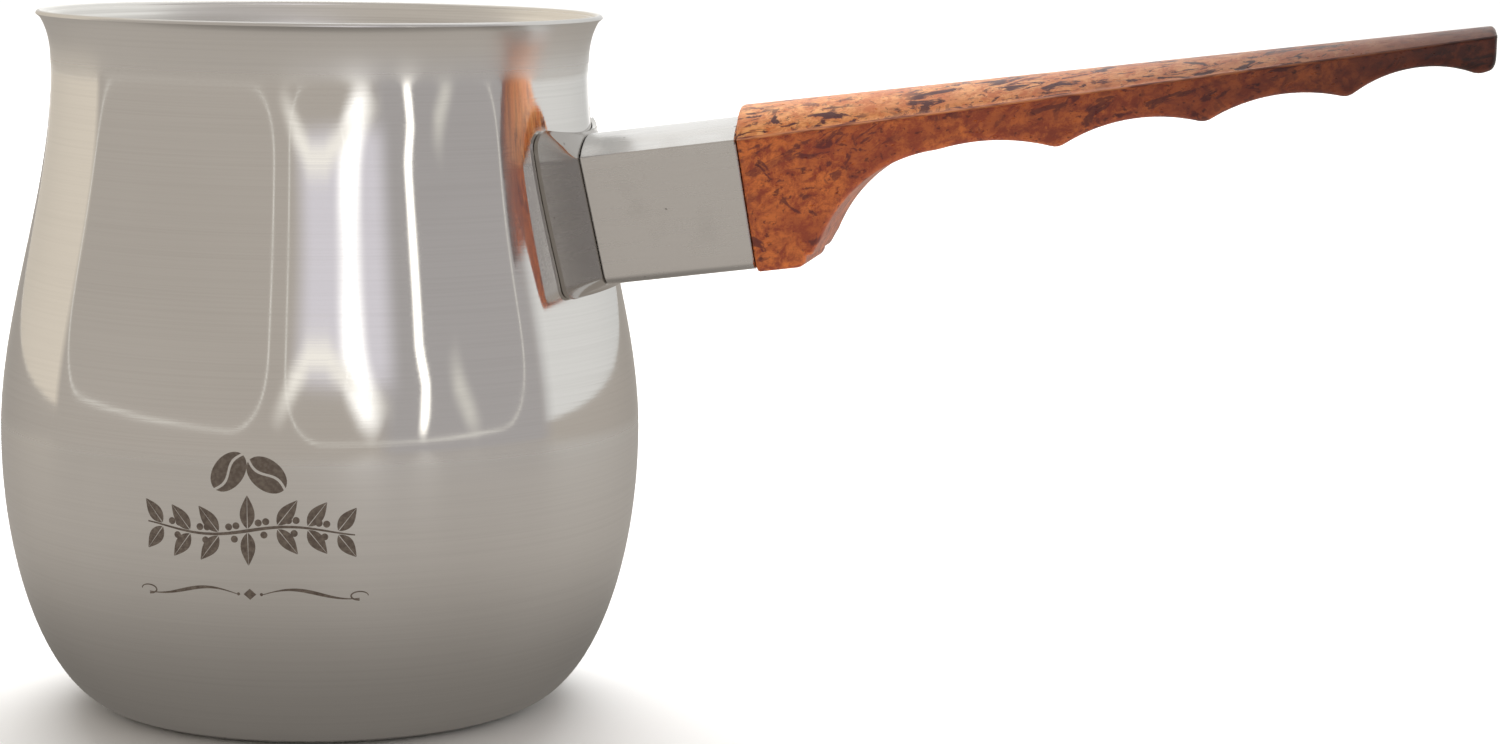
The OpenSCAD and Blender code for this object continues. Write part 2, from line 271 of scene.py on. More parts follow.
def ribbon(path, width):
    """A patch along a path, width(t) wide at the share t of its length."""
    left, right = [], []
    for i, (s, z) in enumerate(path):
        (s0, z0), (s1, z1) = path[max(0, i - 1)], path[min(len(path) - 1, i + 1)]
        half = max(LEAST_STROKE, width(i / (len(path) - 1)) / 2) / math.hypot(s1 - s0, z1 - z0)
        left.append((s - (z1 - z0) * half, z + (s1 - s0) * half))
        right.append((s + (z1 - z0) * half, z - (s1 - s0) * half))
    return patch(left, right)


def turned(points, angle, at):
    """Points turned by an angle in degrees and moved to a place."""
    c, d = math.cos(math.radians(angle)), math.sin(math.radians(angle))
    return [(at[0] + s * c - z * d, at[1] + s * d + z * c) for s, z in points]


def coffee_bean(at, angle, long, wide):
    """Two halves of a bean, with an S-shaped slit between them."""
    made = []
    for side in (-1, 1):
        rim, slit = [], []
        for a in span(4, 176, 18):
            x = -long / 2 * math.cos(math.radians(a))
            edge = BEAN_BEND * wide * math.sin(math.pi * 2 * x / long) + side * BEAN_SLIT * wide
            full = wide / 2 * math.sin(math.radians(a))
            rim.append((x, side * max(full, side * edge + 0.04)))
            slit.append((x, edge))
        made.append(patch(turned(rim, angle, at), turned(slit, angle, at)))
    return made


def leaf(at, angle, long, wide):
    """Two halves of a pointed leaf, with its vein left bare."""
    made = []
    for side in (-1, 1):
        rim = [(long * t, side * (0.05 + wide / 2 * math.sin(math.pi * t ** 0.8))) for t in span(0, 1, 12)]
        vein = [(long * t, side * lerp(VEIN_STALK, VEIN_POINT, t)) for t in span(0, 1, 12)]
        made.append(patch(turned(rim, angle, at), turned(vein, angle, at)))
    return made


def berry(at, r):
    """A round dot."""
    rim = [(-r * math.cos(math.radians(a)), r * math.sin(math.radians(a))) for a in span(5, 175, 12)]
    return patch(turned(rim, 0, at), turned([(x, -z) for x, z in rim], 0, at))


def coffee_branch():
    """A waving stem with pairs of leaves and clusters of berries."""
    def stem(s):
        return 0.7 * math.sin(s * 0.26)

    half = STEM_LENGTH / 2
    parts = [ribbon([(s, stem(s)) for s in span(-half, half, 60)], lambda t: 0.5 - 0.3 * abs(2 * t - 1))]
    for k in range(LEAF_PAIRS):
        from_middle = k - LEAF_PAIRS // 2
        s = LEAF_PITCH * from_middle
        lean = 0 if from_middle == 0 else math.copysign(38, from_middle)
        for side in (-1, 1):
            parts += leaf((s, stem(s) + side * 0.3), side * (90 - lean), 4.9 - 0.22 * abs(from_middle),
                          LEAF_WIDTH)
        if k < LEAF_PAIRS - 1:
            for ds, dz in ((1.5, 0.95), (2.3, -0.95), (2.6, 1.0)):
                parts.append(berry((s + ds + 0.1, stem(s + ds) + dz), BERRY_R))
    return parts


def flourish(z):
    """Two thin mirrored scrolls, each with a curl at its end and a dot at its start, and a lozenge."""
    parts = []
    for side in (-1, 1):
        sweep = [(side * (2 + 14.4 * t), z + 0.9 * math.sin(math.pi * 1.6 * t) * (1 - 0.3 * t))
                 for t in span(0, 1, 40)]
        parts.append(ribbon(sweep, lambda t: 0.12 + 0.42 * math.sin(math.pi * t) ** 2))
        curl = [(side * (16.4 - 1.3 * math.sin(a)), z - 0.85 + 0.65 * (1.3 - math.cos(a)) - 0.2)
                for a in span(0, 1.5 * math.pi, 20)]
        parts.append(ribbon(curl, lambda t: 0.26 - 0.12 * t))
        parts.append(berry((side * 1.75, z), 0.24))
    lozenge = [(-0.95, 0), (-0.5, 0.42), (0, 0.85), (0.5, 0.42), (0.95, 0)]
    parts.append(patch([(s, z + rise) for s, rise in lozenge],
                       [(s, z - max(0.02, rise)) for s, rise in lozenge]))
    return parts


def build_mark(material):
    """A coffee ornament etched in the belly: beans, a branch and a flourish, as thin closed bodies."""
    parts = coffee_bean((-2.7, 8.6), 52, 6.6, 4.5) + coffee_bean((2.9, 8.3), -38, 6.6, 4.5)
    parts += coffee_branch() + flourish(-9.6)
    points, faces = [], []
    for rings in parts:
        start, n = len(points), len(rings[0])
        points += [p for ring in rings for p in ring]
        body = []
        for k in range(len(rings) - 1):
            a, b = start + k * n, start + (k + 1) * n
            body += [(a + i, a + (i + 1) % n, b + (i + 1) % n, b + i) for i in range(n)]
        last = start + (len(rings) - 1) * n
        body += [tuple(range(start, start + n))[::-1], tuple(range(last, last + n))]
        faces += outward(points, body)
    return make_piece("etched_ornament", points, faces, material)


# ---- bracket and flame guard ----

def half_section(w, floor_z, ridge_z, top_z, r_low, r_high):
    """Right half of a section across the handle: flat underside, rounded corner, flat side, a ridge of
    radius r_high, and a top that is crowned where top_z lies above the ridge and dished below it."""
    shoulder_u = w - r_high + r_high * math.cos(math.radians(SHOULDER_TURN))
    shoulder_z = ridge_z - r_high + r_high * math.sin(math.radians(SHOULDER_TURN))
    points = [(u, floor_z) for u in span(0, w - r_low, 8)[:-1]]
    points += arc(w - r_low, floor_z + r_low, r_low, -90, 0, 8)
    points += [(w, z) for z in span(floor_z + r_low, ridge_z - r_high, 12)[1:-1]]
    points += arc(w - r_high, ridge_z - r_high, r_high, 0, SHOULDER_TURN, 8)
    points += [(shoulder_u * t, lerp(top_z, shoulder_z, t * t)) for t in span(1, 0, 12)[1:]]
    return points


def whole(half):
    """A closed ring from its right half."""
    return half + [(-u, z) for u, z in half[-2:0:-1]]


def round_hole(section, r):
    """A circle whose points face those of a section, so that the two join without a twist."""
    spread = []
    for u, z in section:
        angle = math.atan2(z, u)
        spread.append((r * math.cos(angle), r * math.sin(angle)))
    return spread


def respaced(ring, count):
    """A closed ring with another number of points."""
    made = []
    for i in range(count):
        k, t = divmod(i * len(ring) / count, 1)
        a, b = ring[int(k)], ring[(int(k) + 1) % len(ring)]
        made.append((lerp(a[0], b[0], t), lerp(a[1], b[1], t)))
    return made


def placed(section, x_at):
    """A section across the handle, set at x_at(z) along it."""
    return [on_handle(x_at(z), u, z) for u, z in section]


def inner_end(z):
    """Where the flame guard's end beside the bracket lies along the handle, at height z in its frame."""
    return -z * math.tan(INNER_RAKE)


def outer_end(z):
    """Where its end beside the grip lies."""
    return GUARD_L - z * math.tan(OUTER_RAKE)


def guard_section(inset):
    """The flame guard's section, drawn in by inset on all sides."""
    return whole(half_section(GUARD_W - inset, GUARD_FLOOR + inset, GUARD_RIDGE - inset * 0.7,
                              GUARD_TOP - inset, GUARD_LOW_R - inset / 2, RIDGE_R))


def build_guard(material):
    """The drawn steel cup between bracket and grip, with a pierced end wall."""
    edge = 0.2
    outer, eased, inside = guard_section(0), guard_section(edge), guard_section(GUARD_T)
    rings = [placed(eased, inner_end), placed(outer, lambda z: inner_end(z) + edge)]
    for t in span(0, 1, 12)[1:-1]:
        rings.append(placed(outer, lambda z: lerp(inner_end(z), outer_end(z), t)))
    rings += [placed(outer, lambda z: outer_end(z) - edge), placed(eased, outer_end),
              placed(inside, outer_end)]
    for t in span(1, 0, 6)[1:-1]:
        rings.append(placed(inside, lambda z: lerp(inner_end(z) + GUARD_END_T, outer_end(z), t)))
    rings.append(placed(inside, lambda z: inner_end(z) + GUARD_END_T))
    hole = round_hole(outer, STUD_HOLE_R)
    rings += [placed(hole, lambda z: inner_end(z) + GUARD_END_T), placed(hole, inner_end)]
    return loft("flame_guard_sleeve", rings, material)


def wall_x(u, z, lift):
    """Distance along the handle at which a line at (u, z) meets the pot's wall, lift off its face.
    The shell's radius depends on the height it is met at, so a few turns close in on the place."""
    x = WALL_START
    for _ in range(WALL_TURNS):
        height = HANDLE_Z + x * math.sin(TILT) + z * math.cos(TILT)
        reach = math.sqrt((pot_r(height) + WELD_GAP) ** 2 - u * u)
        x = (reach - HANDLE_X + z * math.sin(TILT)) / math.cos(TILT)
    return x + lift


def flare_ring(turn, inset, start, lift):
    """One ring of the flare. turn goes from 0 at the flame guard to 90 at the wall."""
    near = whole(half_section(GUARD_W - inset, GUARD_FLOOR + inset, GUARD_RIDGE - inset / 2,
                              GUARD_TOP - inset, FLARE_LOW_R, RIDGE_R))
    far = whole(half_section(SADDLE_W - inset, SADDLE_FLOOR + inset, SADDLE_TOP - inset,
                             SADDLE_MID - inset, SADDLE_LOW_R, SADDLE_SHOULDER_R))
    bend = math.radians(turn)
    grow = lerp(turn / 90, 1 - math.cos(bend), FLARE_BOW)
    go = lerp(turn / 90, math.sin(bend), FLARE_BOW)
    ring = []
    for (u0, z0), (u1, z1) in zip(near, far):
        x0 = inner_end(z0) - start
        x1 = min(x0 - LEAST_REACH, wall_x(u1, z1, lift))
        ring.append(on_handle(lerp(x0, x1, go), lerp(u0, u1, grow), lerp(z0, z1, grow)))
    return ring


def build_bracket(material):
    """The pressed saddle that flares from the flame guard's section to the pot's wall."""
    steps = 26
    rings = [flare_ring(a, 0, BRACKET_GAP, SADDLE_T) for a in span(0, 90, steps)]
    for inset, lift in ((0.12, SADDLE_T * 0.15), (0.3, 0)):
        rings.append(flare_ring(90, inset, 0, lift))
    rings += [flare_ring(a, SADDLE_T, SADDLE_T, 0) for a in span(90, 0, steps)]
    hole = round_hole(guard_section(0), FLANGE_HOLE_R)
    rings += [placed(hole, lambda z: inner_end(z) - SADDLE_T),
              placed(hole, lambda z: inner_end(z) - BRACKET_GAP)]
    return loft("bracket_saddle", rings, material)


# ---- grip ----

# Two arcs sweep up from the foot: middle along the handle, highest point and radius
SWEEPS = [(53.9, 3.9, 22.1), (59.5, 4.45, 32)]
# The three finger grooves run from this crest along a rising line: width and depth of each
CREST = (71.4, 2.1)
CREST_RISE = math.radians(3.4)
GROOVES = [(21.9, 2.4), (21, 2.2), (19.2, 2.6)]
TIP_RISE = 0.2
# The moulding seam: how far it stands out, its height, and how far in from it the crown starts
SEAM_OUT = 0.12
SEAM_H = 0.22
CROWN_IN = 0.3
# The crests are rounded over this much to each side, from here on along the handle
CREST_SOFT = 0.9
CREST_SOFT_FROM = 36
# Where the sections stop leaning with the root face, and where they start to lean out with the tip
ROOT_LEAN_END = GUARD_L + 7
TIP_LEAN_START = 126
LEAN_CHANGE = 10
# The tip's rounded end: its length along the grip and how far the section draws in over it
TIP_ROUND = 1.0
TIP_DRAW_IN = 1.3
# The tenon's corner radius, and how far its far end is scaled down to enter the guard
TENON_CORNER = 1
TENON_TAPER = 0.97


def groove_circles():
    """Centre and radius of each finger groove, from crest to crest along the rising line."""
    x, z = CREST
    made = []
    for width, depth in GROOVES:
        r = ((width / 2) ** 2 + depth ** 2) / (2 * depth)
        mx = x + width / 2 * math.cos(CREST_RISE)
        mz = z + width / 2 * math.sin(CREST_RISE)
        made.append((x, mx + (r - depth) * math.sin(CREST_RISE), mz - (r - depth) * math.cos(CREST_RISE), r))
        x, z = x + width * math.cos(CREST_RISE), z + width * math.sin(CREST_RISE)
    return made, (x, z)


GROOVE_CIRCLES, TIP_LOW = groove_circles()


def underside(x):
    """Height of the grip's underside at x: foot, sweep, three finger grooves and tip."""
    if x <= FOOT_END:
        return FOOT_Z
    if x <= FOOT_END + FOOT_EDGE:
        return FOOT_Z + FOOT_EDGE - math.sqrt(max(0, FOOT_EDGE ** 2 - (x - FOOT_END) ** 2))
    if x < CREST[0]:
        ledge = FOOT_Z + FOOT_EDGE
        arcs = [top - r + math.sqrt(max(0, r * r - (x - cx) ** 2)) for cx, top, r in SWEEPS
                if abs(x - cx) < r]
        return max([ledge] + arcs)
    for start, cx, cz, r in reversed(GROOVE_CIRCLES):
        if start <= x < TIP_LOW[0]:
            return cz + math.sqrt(r * r - (x - cx) ** 2)
    return TIP_LOW[1] + TIP_RISE * (x - TIP_LOW[0])


def soft_underside(x):
    """The underside with its crests rounded, as the moulding has them."""
    reach = CREST_SOFT * ease((x - CREST_SOFT_FROM) / LEAN_CHANGE)
    spread = [underside(x + reach * t) for t in span(-1, 1, 8)]
    return sum(spread) / len(spread)


def grip_w(x):
    """Half the grip's width, which narrows slowly at first."""
    t = (x - GUARD_L) / (GRIP_END - GUARD_L)
    return GRIP_W - (GRIP_W - GRIP_TIP_W) * max(0, t) ** 2


def grip_section(x, inset=0):
    """Right half of the grip's section: underside, rounded lower edge, side, moulding seam and crown."""
    w = grip_w(x) - inset
    low = soft_underside(x) + inset
    ridge = GRIP_RIDGE + GRIP_RIDGE_RISE * (x - GUARD_L)
    top = GRIP_TOP - GRIP_FALL * (x - GUARD_L) - inset
    r = min(GRIP_LOW_R, (ridge - low) * 0.42)
    rise = top - ridge
    big = (w * w + rise * rise) / (2 * rise)
    edge_z = low + r
    points = [(u, low) for u in span(0, w - r, 8)[:-1]]
    points += arc(w - r, edge_z, r, -90, 0, 10)
    points += [(w, z) for z in span(edge_z, ridge - SEAM_H, 14)[1:]]
    points += [(w + SEAM_OUT, ridge - SEAM_H * 0.6), (w + SEAM_OUT, ridge + SEAM_H * 0.2),
               (w - SEAM_OUT, ridge + SEAM_H)]
    for angle in span(math.asin(min(1, (w - CROWN_IN) / big)), 0, CROWN_STEPS):
        points.append((big * math.sin(angle), top - big + big * math.cos(angle)))
    return points


def tenon_rings():
    """From the end of the stud's bore, back through the insert's pocket and along the tenon to the root."""
    root = whole(grip_section(GUARD_L))
    tenon = whole(half_section(GUARD_W - GUARD_T - FIT_GAP, GUARD_FLOOR + GUARD_T + FIT_GAP,
                               GUARD_RIDGE - 0.6, GUARD_TOP - GUARD_T - FIT_GAP,
                               TENON_CORNER, RIDGE_R))
    tenon = respaced(tenon, len(root))
    shrunk = [(u * TENON_TAPER, z * TENON_TAPER) for u, z in tenon]
    bore = round_hole(root, STUD_HOLE_R)
    pocket = round_hole(root, INSERT_R + 0.02)
    return [placed(bore, lambda z: TENON_X + INSERT_L + 2), placed(bore, lambda z: TENON_X + INSERT_L),
            placed(pocket, lambda z: TENON_X + INSERT_L), placed(pocket, lambda z: TENON_X + 1),
            placed(shrunk, lambda z: TENON_X + 1), placed(tenon, lambda z: TENON_X + 1.5),
            placed(tenon, lambda z: outer_end(z) + ROOT_GAP)]


def rake(x, z):
    """Sections lean with the root face, stand upright along the grip and lean out at the tip."""
    at_root = max(0, (ROOT_LEAN_END - x) / (ROOT_LEAN_END - GUARD_L))
    at_tip = ease((x - TIP_LEAN_START) / LEAN_CHANGE)
    return x - z * math.tan(OUTER_RAKE) * at_root + (z - GUARD_RIDGE) * math.tan(TILT) * at_tip


def station(x, inset=0):
    """The grip's section at x along the handle, drawn in by inset."""
    return [on_handle(rake(x, z), u, z) for u, z in whole(grip_section(x, inset))]


def grip_rings():
    """From the eased edge of the root face, over the foot and the finger grooves, to the rounded tip."""
    rings = [placed(whole(grip_section(GUARD_L, 0.4)), lambda z: outer_end(z) + ROOT_GAP),
             station(GUARD_L + ROOT_GAP + 0.1, 0.12), station(GUARD_L + ROOT_GAP + 0.4)]
    foot_end = FOOT_END + FOOT_EDGE
    xs = span(GUARD_L + 1, FOOT_END, 8) + span(FOOT_END, foot_end, 8)[1:]
    xs += span(foot_end, 40, 22)[1:] + span(40, GRIP_END - 2.2, 180)[1:]
    rings += [station(x) for x in xs]
    for a in span(0, 90, 9)[1:]:
        rings.append(station(GRIP_END - 1.6 + TIP_ROUND * math.sin(math.radians(a)),
                             TIP_DRAW_IN * (1 - math.cos(math.radians(a)))))
    return rings


def build_grip(material, seam):
    """The moulded grip, with another material on the faces of its parting line."""
    rings = tenon_rings() + grip_rings()
    grip = loft("grip_moulding", rings, material, "caps")
    grip.data.materials.append(seam)
    side = len(grip_section(GUARD_L)) - CROWN_STEPS - SEAM_POINTS - 1
    n = len(rings[0])
    for face in grip.data.polygons[:n * (len(rings) - 1)]:
        at = face.index % n
        if side <= min(at, n - 1 - at) < side + SEAM_POINTS:
            face.material_index = 1
    return grip


# ---- materials ----

# Heights in metres over which the belly's polish starts and the neck's polish ends
POLISH_START = (0.0445, 0.0480)
POLISH_END = (0.0985, 0.102)
# Heights, along the grip's own slope, over which its side gives way to the crown, whose colours are painted
# paler as light from above
CROWN_START = (0.0790, 0.0794)


class Surface:
    """A material's node tree, with short ways to add nodes and join them."""

    def __init__(self, name, **shader):
        self.material = bpy.data.materials.new(name)
        self.material.use_nodes = True
        self.tree = self.material.node_tree
        self.shader = self.tree.nodes["Principled BSDF"]
        for key, value in shader.items():
            self.shader.inputs[key.replace("_", " ")].default_value = value

    def node(self, kind, settings=None, **inputs):
        """A new node. inputs are named by socket, with _ for a space, or i0, i1 and so on by number."""
        made = self.tree.nodes.new(kind)
        for key, value in (settings or {}).items():
            setattr(made, key, value)
        for key, value in inputs.items():
            self.feed(made, key.replace("_", " "), value)
        return made

    def feed(self, node, key, value):
        """Sets an input to a value, or joins it to another node's output."""
        socket = node.inputs[int(key[1:])] if key[0] == "i" and key[1:].isdigit() else node.inputs[key]
        if isinstance(value, bpy.types.NodeSocket):
            self.tree.links.new(value, socket)
        else:
            socket.default_value = value

    def place(self, scale=(1, 1, 1), tilt=0):
        """Object coordinates, turned by tilt about Y and then stretched."""
        where = self.node("ShaderNodeTexCoord").outputs["Object"]
        if tilt:
            where = self.node("ShaderNodeMapping", Vector=where, Rotation=(0, tilt, 0)).outputs[0]
        return self.node("ShaderNodeMapping", Vector=where, Scale=scale).outputs[0]

    def noise(self, where, detail=3, roughness=0.5, distortion=0):
        """Noise at the places given, which carry its scale."""
        return self.node("ShaderNodeTexNoise", Vector=where, Scale=1, Detail=detail,
                         Roughness=roughness, Distortion=distortion).outputs["Fac"]

    def ramp(self, value, low, high, out_low=0, out_high=1):
        """value, mapped smoothly from low..high to out_low..out_high."""
        return self.node("ShaderNodeMapRange", {"interpolation_type": "SMOOTHSTEP"}, Value=value,
                         From_Min=low, From_Max=high, To_Min=out_low, To_Max=out_high).outputs[0]

    def scaled(self, value, out_low, out_high):
        """value, a share from 0 to 1, mapped evenly to out_low..out_high."""
        return self.node("ShaderNodeMapRange", Value=value, To_Min=out_low, To_Max=out_high).outputs[0]

    def math(self, operation, a, b=0):
        return self.node("ShaderNodeMath", {"operation": operation}, i0=a, i1=b).outputs[0]

    def mix(self, factor, a, b, blend="MIX"):
        """Colour a, changed by colour b as far as the factor says."""
        made = self.node("ShaderNodeMix", {"data_type": "RGBA", "blend_type": blend})
        self.feed(made, "i0", factor)
        self.feed(made, "i6", a)
        self.feed(made, "i7", b)
        return made.outputs[2]

    def bump(self, height, strength, distance):
        """Raises the shader's face by a height."""
        made = self.node("ShaderNodeBump", Height=height, Strength=strength, Distance=distance)
        self.feed(self.shader, "Normal", made.outputs[0])

    def height(self):
        """Height above the table, in metres."""
        where = self.node("ShaderNodeTexCoord").outputs["Object"]
        return self.node("ShaderNodeSeparateXYZ", Vector=where).outputs["Z"]


def pot_steel():
    """Polished from the upper belly to the neck, satin below and under the lip, with fine turned lines;
    painted shade darkens the satin towards the foot.
    """
    s = Surface("pot_steel", Metallic=1, Anisotropic=0.7, Anisotropic_Rotation=0.25,
                Specular_Tint=(0.8, 0.8, 0.8, 1))
    z = s.height()
    polish = s.math("MULTIPLY", s.ramp(z, *POLISH_START), s.ramp(z, *POLISH_END, 1, 0))
    foot = s.ramp(z, 0.0, 0.036)
    lines = s.noise(s.place((14, 14, 2600)), 4, 0.6)
    broad = s.noise(s.place((10, 10, 160)), 3, 0.5)
    cloud = s.noise(s.place((26, 26, 26)), 3, 0.5)
    # Painted shade: the satin colour darkens towards the foot, standing in for the shaded floor beside the
    # pot that the foot mirrors.
    satin_with_foot_shade = s.mix(foot, (0.70, 0.69, 0.675, 1), (0.76, 0.75, 0.735, 1))
    colour = s.mix(polish, satin_with_foot_shade, (0.79, 0.775, 0.755, 1))
    colour = s.mix(s.ramp(lines, 0.35, 0.75, 0, 0.08), colour, (0.5, 0.49, 0.47, 1), "MULTIPLY")
    colour = s.mix(s.ramp(cloud, 0.45, 0.75, 0, 0.08), colour, (0.6, 0.58, 0.55, 1), "MULTIPLY")
    s.feed(s.shader, "Base Color", colour)
    rough = s.math("ADD", s.scaled(polish, 0.30, 0.055), s.ramp(broad, 0.3, 0.8, -0.01, 0.02))
    rough = s.math("ADD", rough, s.ramp(lines, 0.3, 0.8, -0.01, 0.03))
    s.feed(s.shader, "Roughness", rough)
    s.bump(lines, 0.012, 0.0002)
    return s.material


def turned_inside():
    """The satin inside of the shell, with coarser turned lines."""
    s = Surface("pot_inside", Metallic=1, Anisotropic=0.4, Anisotropic_Rotation=0.25)
    lines = s.noise(s.place((8, 8, 1500)), 4, 0.65)
    bands = s.noise(s.place((4, 4, 420)), 2, 0.5)
    colour = s.mix(s.ramp(lines, 0.35, 0.7, 0, 0.4), (0.93, 0.915, 0.885, 1), (0.55, 0.53, 0.50, 1))
    colour = s.mix(s.ramp(bands, 0.45, 0.7, 0, 0.4), colour, (0.55, 0.53, 0.50, 1))
    s.feed(s.shader, "Base Color", colour)
    s.feed(s.shader, "Roughness", s.ramp(lines, 0.3, 0.8, 0.30, 0.48))
    s.bump(lines, 0.08, 0.0003)
    return s.material


def brushed_steel(name, base, roughness, grain, depth=0.06):
    """Sheet steel with a brushed grain of the given stretch, small scuffs and a few dark pits."""
    s = Surface(name, Metallic=1, Anisotropic=0.2)
    lines = s.noise(s.place(grain, TILT), 4, 0.6)
    cloud = s.noise(s.place((120, 120, 120), TILT), 4, 0.55)
    pits = s.noise(s.place((900, 900, 900)), 1, 0.4)
    colour = s.mix(s.ramp(lines, 0.3, 0.75, 0, 0.08), base, (0.55, 0.53, 0.51, 1), "MULTIPLY")
    colour = s.mix(s.ramp(cloud, 0.5, 0.75, 0, 0.14), colour, (0.55, 0.52, 0.49, 1), "MULTIPLY")
    colour = s.mix(s.ramp(pits, 0.76, 0.80, 0, 0.6), colour, (0.12, 0.11, 0.10, 1))
    s.feed(s.shader, "Base Color", colour)
    rough = s.math("ADD", s.ramp(lines, 0.3, 0.8, roughness - 0.03, roughness + 0.06),
                   s.ramp(cloud, 0.4, 0.8, -0.01, 0.05))
    s.feed(s.shader, "Roughness", rough)
    s.bump(lines, depth, 0.0002)
    return s.material


def turned_brass():
    """Tarnished brass with turned lines round its axis."""
    s = Surface("turned_brass", Metallic=1)
    lines = s.noise(s.place((2400, 60, 60), TILT), 3, 0.6)
    tarnish = s.noise(s.place((300, 300, 300)), 4, 0.6)
    colour = s.mix(s.ramp(tarnish, 0.4, 0.7), (0.72, 0.48, 0.18, 1), (0.46, 0.29, 0.11, 1))
    s.feed(s.shader, "Base Color", colour)
    s.feed(s.shader, "Roughness", s.ramp(lines, 0.3, 0.8, 0.22, 0.42))
    s.bump(lines, 0.2, 0.0002)
    return s.material


def burl_bakelite():
    """Bakelite with a burl-wood print: orange-brown mottled with red, with painted light from above that
    makes the crown paler.
    """
    s = Surface("burl_bakelite", IOR=1.5, Specular_IOR_Level=0.36)
    parts = s.node("ShaderNodeSeparateXYZ", Vector=s.place((1, 1, 1), TILT))
    along = parts.outputs["X"]
    cloud = s.noise(s.place((75, 120, 120), TILT), 3, 0.5, 0.6)
    figure = s.noise(s.place((380, 480, 480), TILT + 0.5), 7, 0.76, 0.35)
    grain = s.noise(s.place((420, 1100, 1100), TILT), 4, 0.7)
    ridge = s.math("SUBTRACT", parts.outputs["Z"], s.math("MULTIPLY", along, GRIP_RIDGE_RISE))
    crown = s.ramp(ridge, *CROWN_START)
    # Painted light: the crown's colours are paler, as if lit from above, while the side keeps the darker
    # tones.
    light = s.mix(crown, (0.66, 0.172, 0.036, 1), (0.90, 0.42, 0.15, 1))
    dark = s.mix(crown, (0.30, 0.052, 0.020, 1), (0.62, 0.17, 0.045, 1))
    colour = s.mix(s.ramp(figure, 0.40, 0.62), light, dark)
    colour = s.mix(s.ramp(cloud, 0.40, 0.62, 0, 0.55), colour, dark)
    veins = s.mix(1, dark, (0.75, 0.75, 0.9, 1), "MULTIPLY")
    colour = s.mix(s.ramp(grain, 0.45, 0.75, 0, 0.5), colour, veins)
    colour = burl_marks(s, colour, along, crown)
    s.feed(s.shader, "Base Color", darker_tip(s, colour, along))
    s.feed(s.shader, "Roughness", s.ramp(grain, 0.3, 0.8, 0.27, 0.42))
    s.bump(grain, 0.10, 0.0002)
    return s.material


def burl_marks(s, colour, along, crown):
    """Clusters of dark flecks, more of them on the crown, blots near the root, and fine specks."""
    clusters = s.noise(s.place((36, 66, 66), TILT), 2, 0.5)
    flecks = s.noise(s.place((150, 480, 330), TILT + 0.35), 5, 0.66, 1.2)
    fleck = s.math("MULTIPLY", s.ramp(flecks, 0.525, 0.585), s.ramp(clusters, 0.42, 0.53))
    fleck = s.math("MULTIPLY", fleck, s.scaled(crown, 0.7, 0.95))
    colour = s.mix(fleck, colour, (0.070, 0.013, 0.022, 1))
    blots = s.noise(s.place((300, 420, 300), TILT - 0.9), 4, 0.6, 0.8)
    near_root = s.ramp(along, 0.082, 0.125, 0.75, 0.35)
    colour = s.mix(s.math("MULTIPLY", s.ramp(blots, 0.58, 0.64), near_root), colour, (0.085, 0.016, 0.020, 1))
    specks = s.noise(s.place((820, 1150, 1150), TILT), 3, 0.6)
    colour = s.mix(s.ramp(specks, 0.60, 0.69, 0, 0.75), colour, (0.085, 0.016, 0.014, 1))
    return colour


def darker_tip(s, colour, along):
    """The colour darkens towards the grip's tip, slowly at first."""
    for low, high, shade in ((0.085, 0.150, (0.66, 0.62, 0.66, 1)),
                             (0.125, 0.200, (0.14, 0.075, 0.07, 1))):
        colour = s.mix(s.ramp(along, low, high), colour, s.mix(1, colour, shade, "MULTIPLY"))
    return colour


def bakelite_seam():
    """The parting line of the moulding, where the print is thin and the orange shows."""
    s = Surface("bakelite_seam", IOR=1.5, Specular_IOR_Level=0.3)
    worn = s.noise(s.place((160, 900, 900), TILT), 3, 0.6)
    along = s.node("ShaderNodeSeparateXYZ", Vector=s.place((1, 1, 1), TILT)).outputs["X"]
    colour = s.mix(s.ramp(worn, 0.42, 0.62), (0.58, 0.20, 0.065, 1), (0.20, 0.042, 0.018, 1))
    s.feed(s.shader, "Base Color", darker_tip(s, colour, along))
    s.feed(s.shader, "Roughness", s.ramp(worn, 0.3, 0.7, 0.3, 0.45))
    return s.material


def etched_brown():
    """The dark, dull face that etching leaves on steel."""
    s = Surface("etched_brown", Metallic=0.35)
    mottle = s.noise(s.place((1600, 1600, 1600)), 3, 0.6)
    s.feed(s.shader, "Base Color", s.mix(s.ramp(mottle, 0.35, 0.7), (0.12, 0.092, 0.074, 1),
                                         (0.20, 0.165, 0.135, 1)))
    s.feed(s.shader, "Roughness", s.ramp(mottle, 0.3, 0.7, 0.5, 0.7))
    s.bump(mottle, 0.3, 0.0001)
    return s.material


# ---- studio ----

# The camera's place in metres, its lens, and its turn, downward pitch and roll in degrees
CAMERA_AT = (0.15969, -0.50619, 0.12890)
CAMERA_LENS = 80.69
CAMERA_TURN, CAMERA_PITCH, CAMERA_ROLL = 10.2, 8.234, 0.861
# How far the cards stand from the pot's axis, in metres
CARD_REACH = 0.58


def aim(obj, azimuth, pitch, roll=0):
    """Turns an object to look along an azimuth from +Y, with a downward pitch and a roll about its view."""
    level = math.cos(pitch)
    look = Vector((-math.sin(azimuth) * level, math.cos(azimuth) * level, -math.sin(pitch)))
    obj.rotation_mode = "QUATERNION"
    obj.rotation_quaternion = look.to_track_quat("-Z", "Y") @ Quaternion((0, 0, 1), roll)


def make_camera():
    """The viewpoint: a little above the lip, with the handle to the right."""
    lens = bpy.data.cameras.new("camera")
    lens.lens = CAMERA_LENS
    lens.sensor_width = 36
    lens.clip_start = 0.01
    camera = bpy.data.objects.new("camera", lens)
    camera.location = CAMERA_AT
    bpy.context.scene.collection.objects.link(camera)
    aim(camera, math.radians(CAMERA_TURN), math.radians(CAMERA_PITCH), math.radians(CAMERA_ROLL))
    bpy.context.scene.camera = camera


